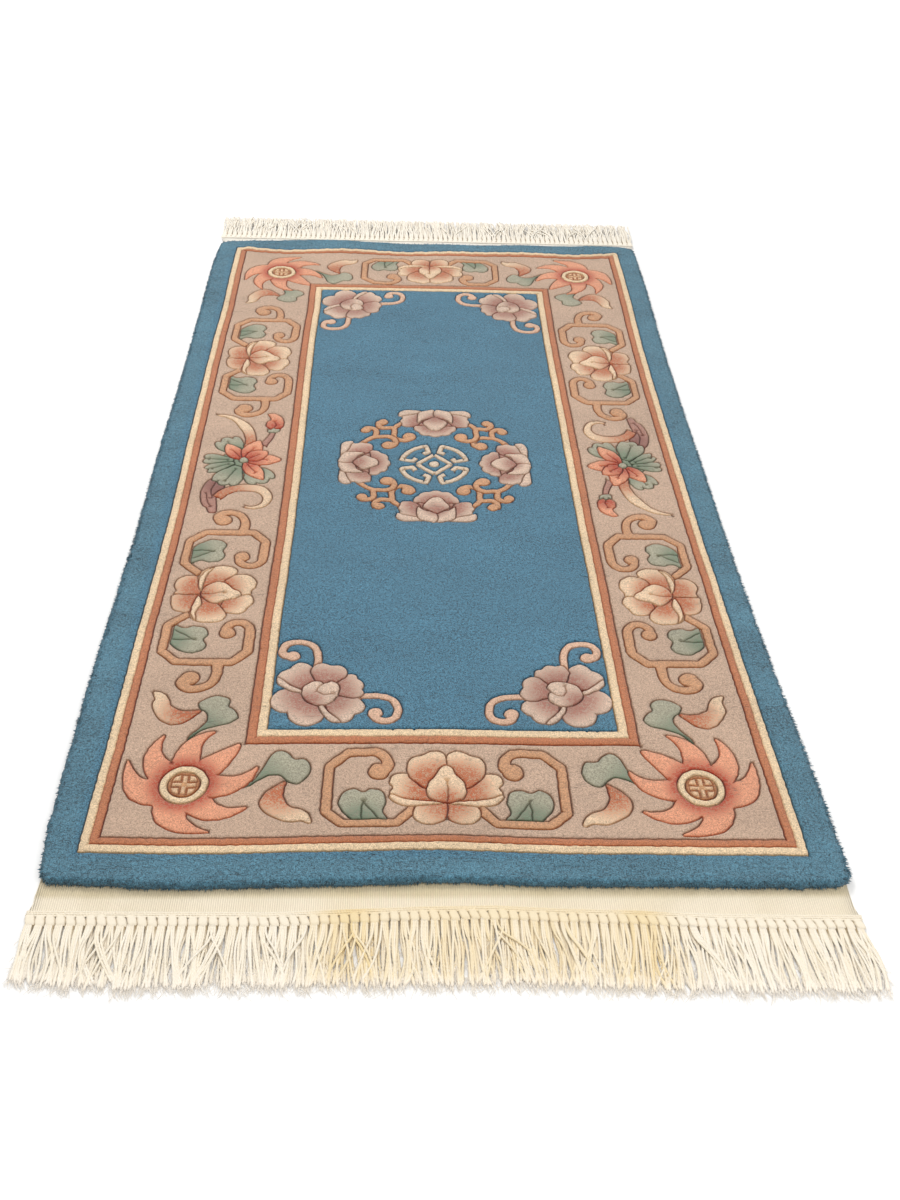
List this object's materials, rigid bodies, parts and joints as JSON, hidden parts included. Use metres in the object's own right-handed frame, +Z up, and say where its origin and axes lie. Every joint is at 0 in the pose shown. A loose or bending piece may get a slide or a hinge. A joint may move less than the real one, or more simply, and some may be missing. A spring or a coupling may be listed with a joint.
{
  "type": "carved pile rug",
  "caption": "Rectangular hand-knotted wool rug with a carved cut pile, flat-woven ends and a knotted cotton fringe.",
  "frame": {"origin": "middle of the underside, on the floor", "axes": "+Y along the rug's length, towards the far end in the picture; +X to the right in the picture; +Z up"},
  "size_m": [0.9142, 1.9805, 0.0151],
  "materials": {
    "ground_cotton": "matte",
    "pile_wool": "matte",
    "front_fringe_cotton": "matte",
    "back_fringe_cotton": "matte"
  },
  "bodies": {
    "root": {"foundation": "ground_cotton", "pile": "pile_wool", "fringe_front": "front_fringe_cotton", "fringe_back": "back_fringe_cotton"}
  },
  "joints": []
}
